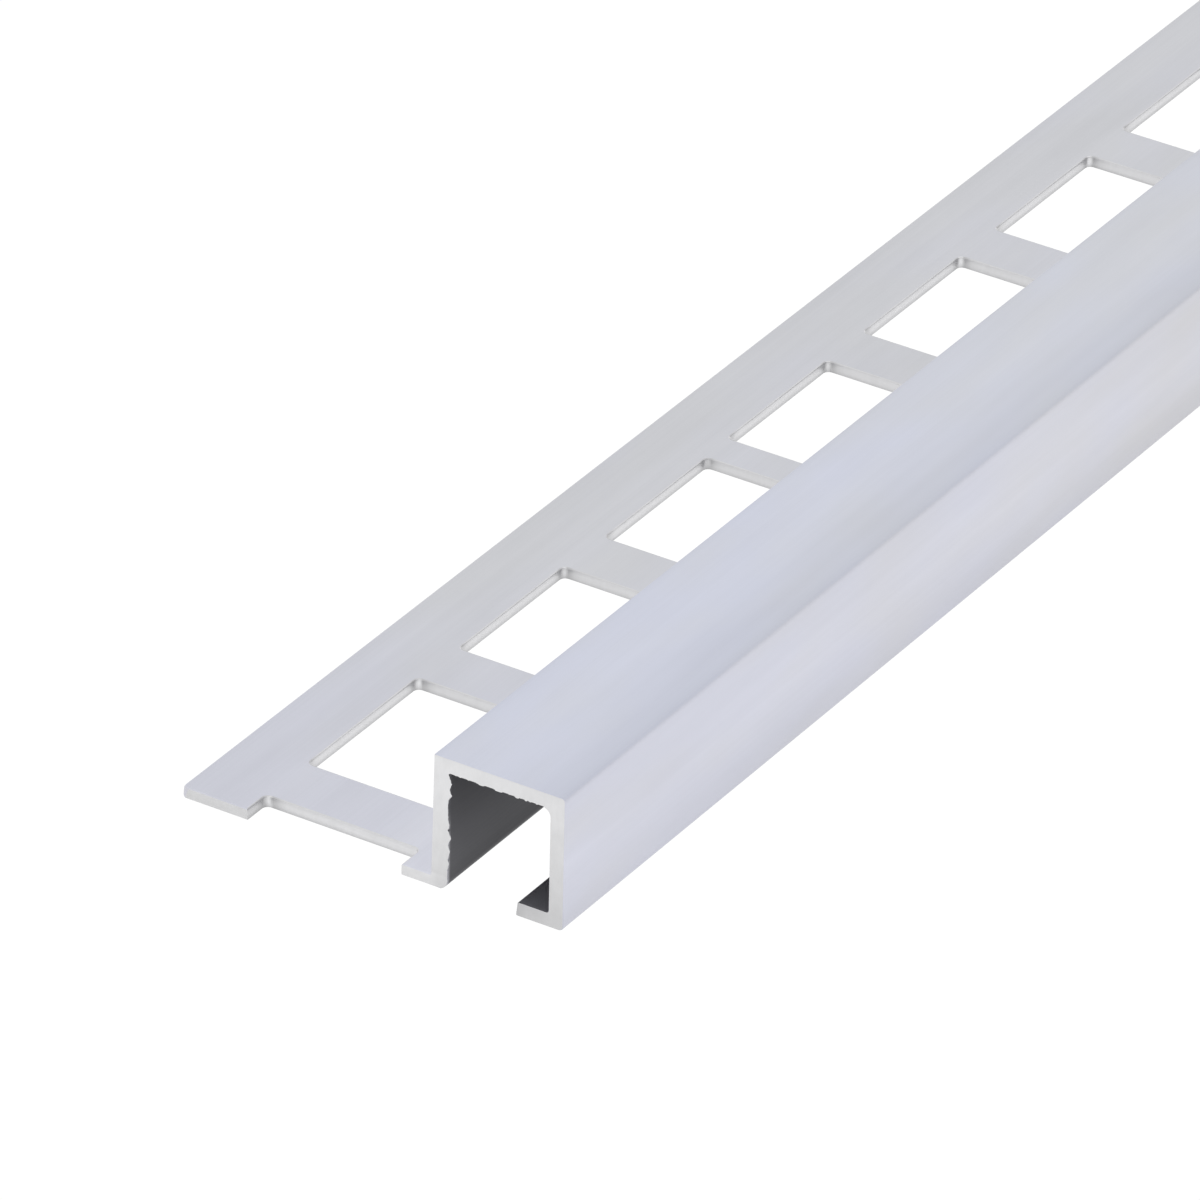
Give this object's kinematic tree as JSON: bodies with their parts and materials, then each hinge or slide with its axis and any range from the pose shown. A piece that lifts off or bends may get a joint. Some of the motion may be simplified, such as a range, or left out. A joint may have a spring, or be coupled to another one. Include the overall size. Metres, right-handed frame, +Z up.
{
  "type": "tile edge trim",
  "caption": "Square-edge aluminium tile trim: a perforated flange that is bedded under the tiles, and a square channel whose top and face finish their edge.",
  "frame": {"origin": "middle of the trim's box on the flat underside of the flange, the plane that is bedded on the floor or wall", "axes": "+X along the length, from the sawn end that the picture shows to the far one; +Y across, from the channel to the outer edge of the flange, under the tiles; +Z up, out of the tiled surface"},
  "size_m": [1, 0.0296, 0.01],
  "materials": {
    "mill_aluminium": "mill finish, silky, with fine streaks along the length"
  },
  "bodies": {
    "root": {"edge_trim": "mill_aluminium"}
  },
  "joints": []
}
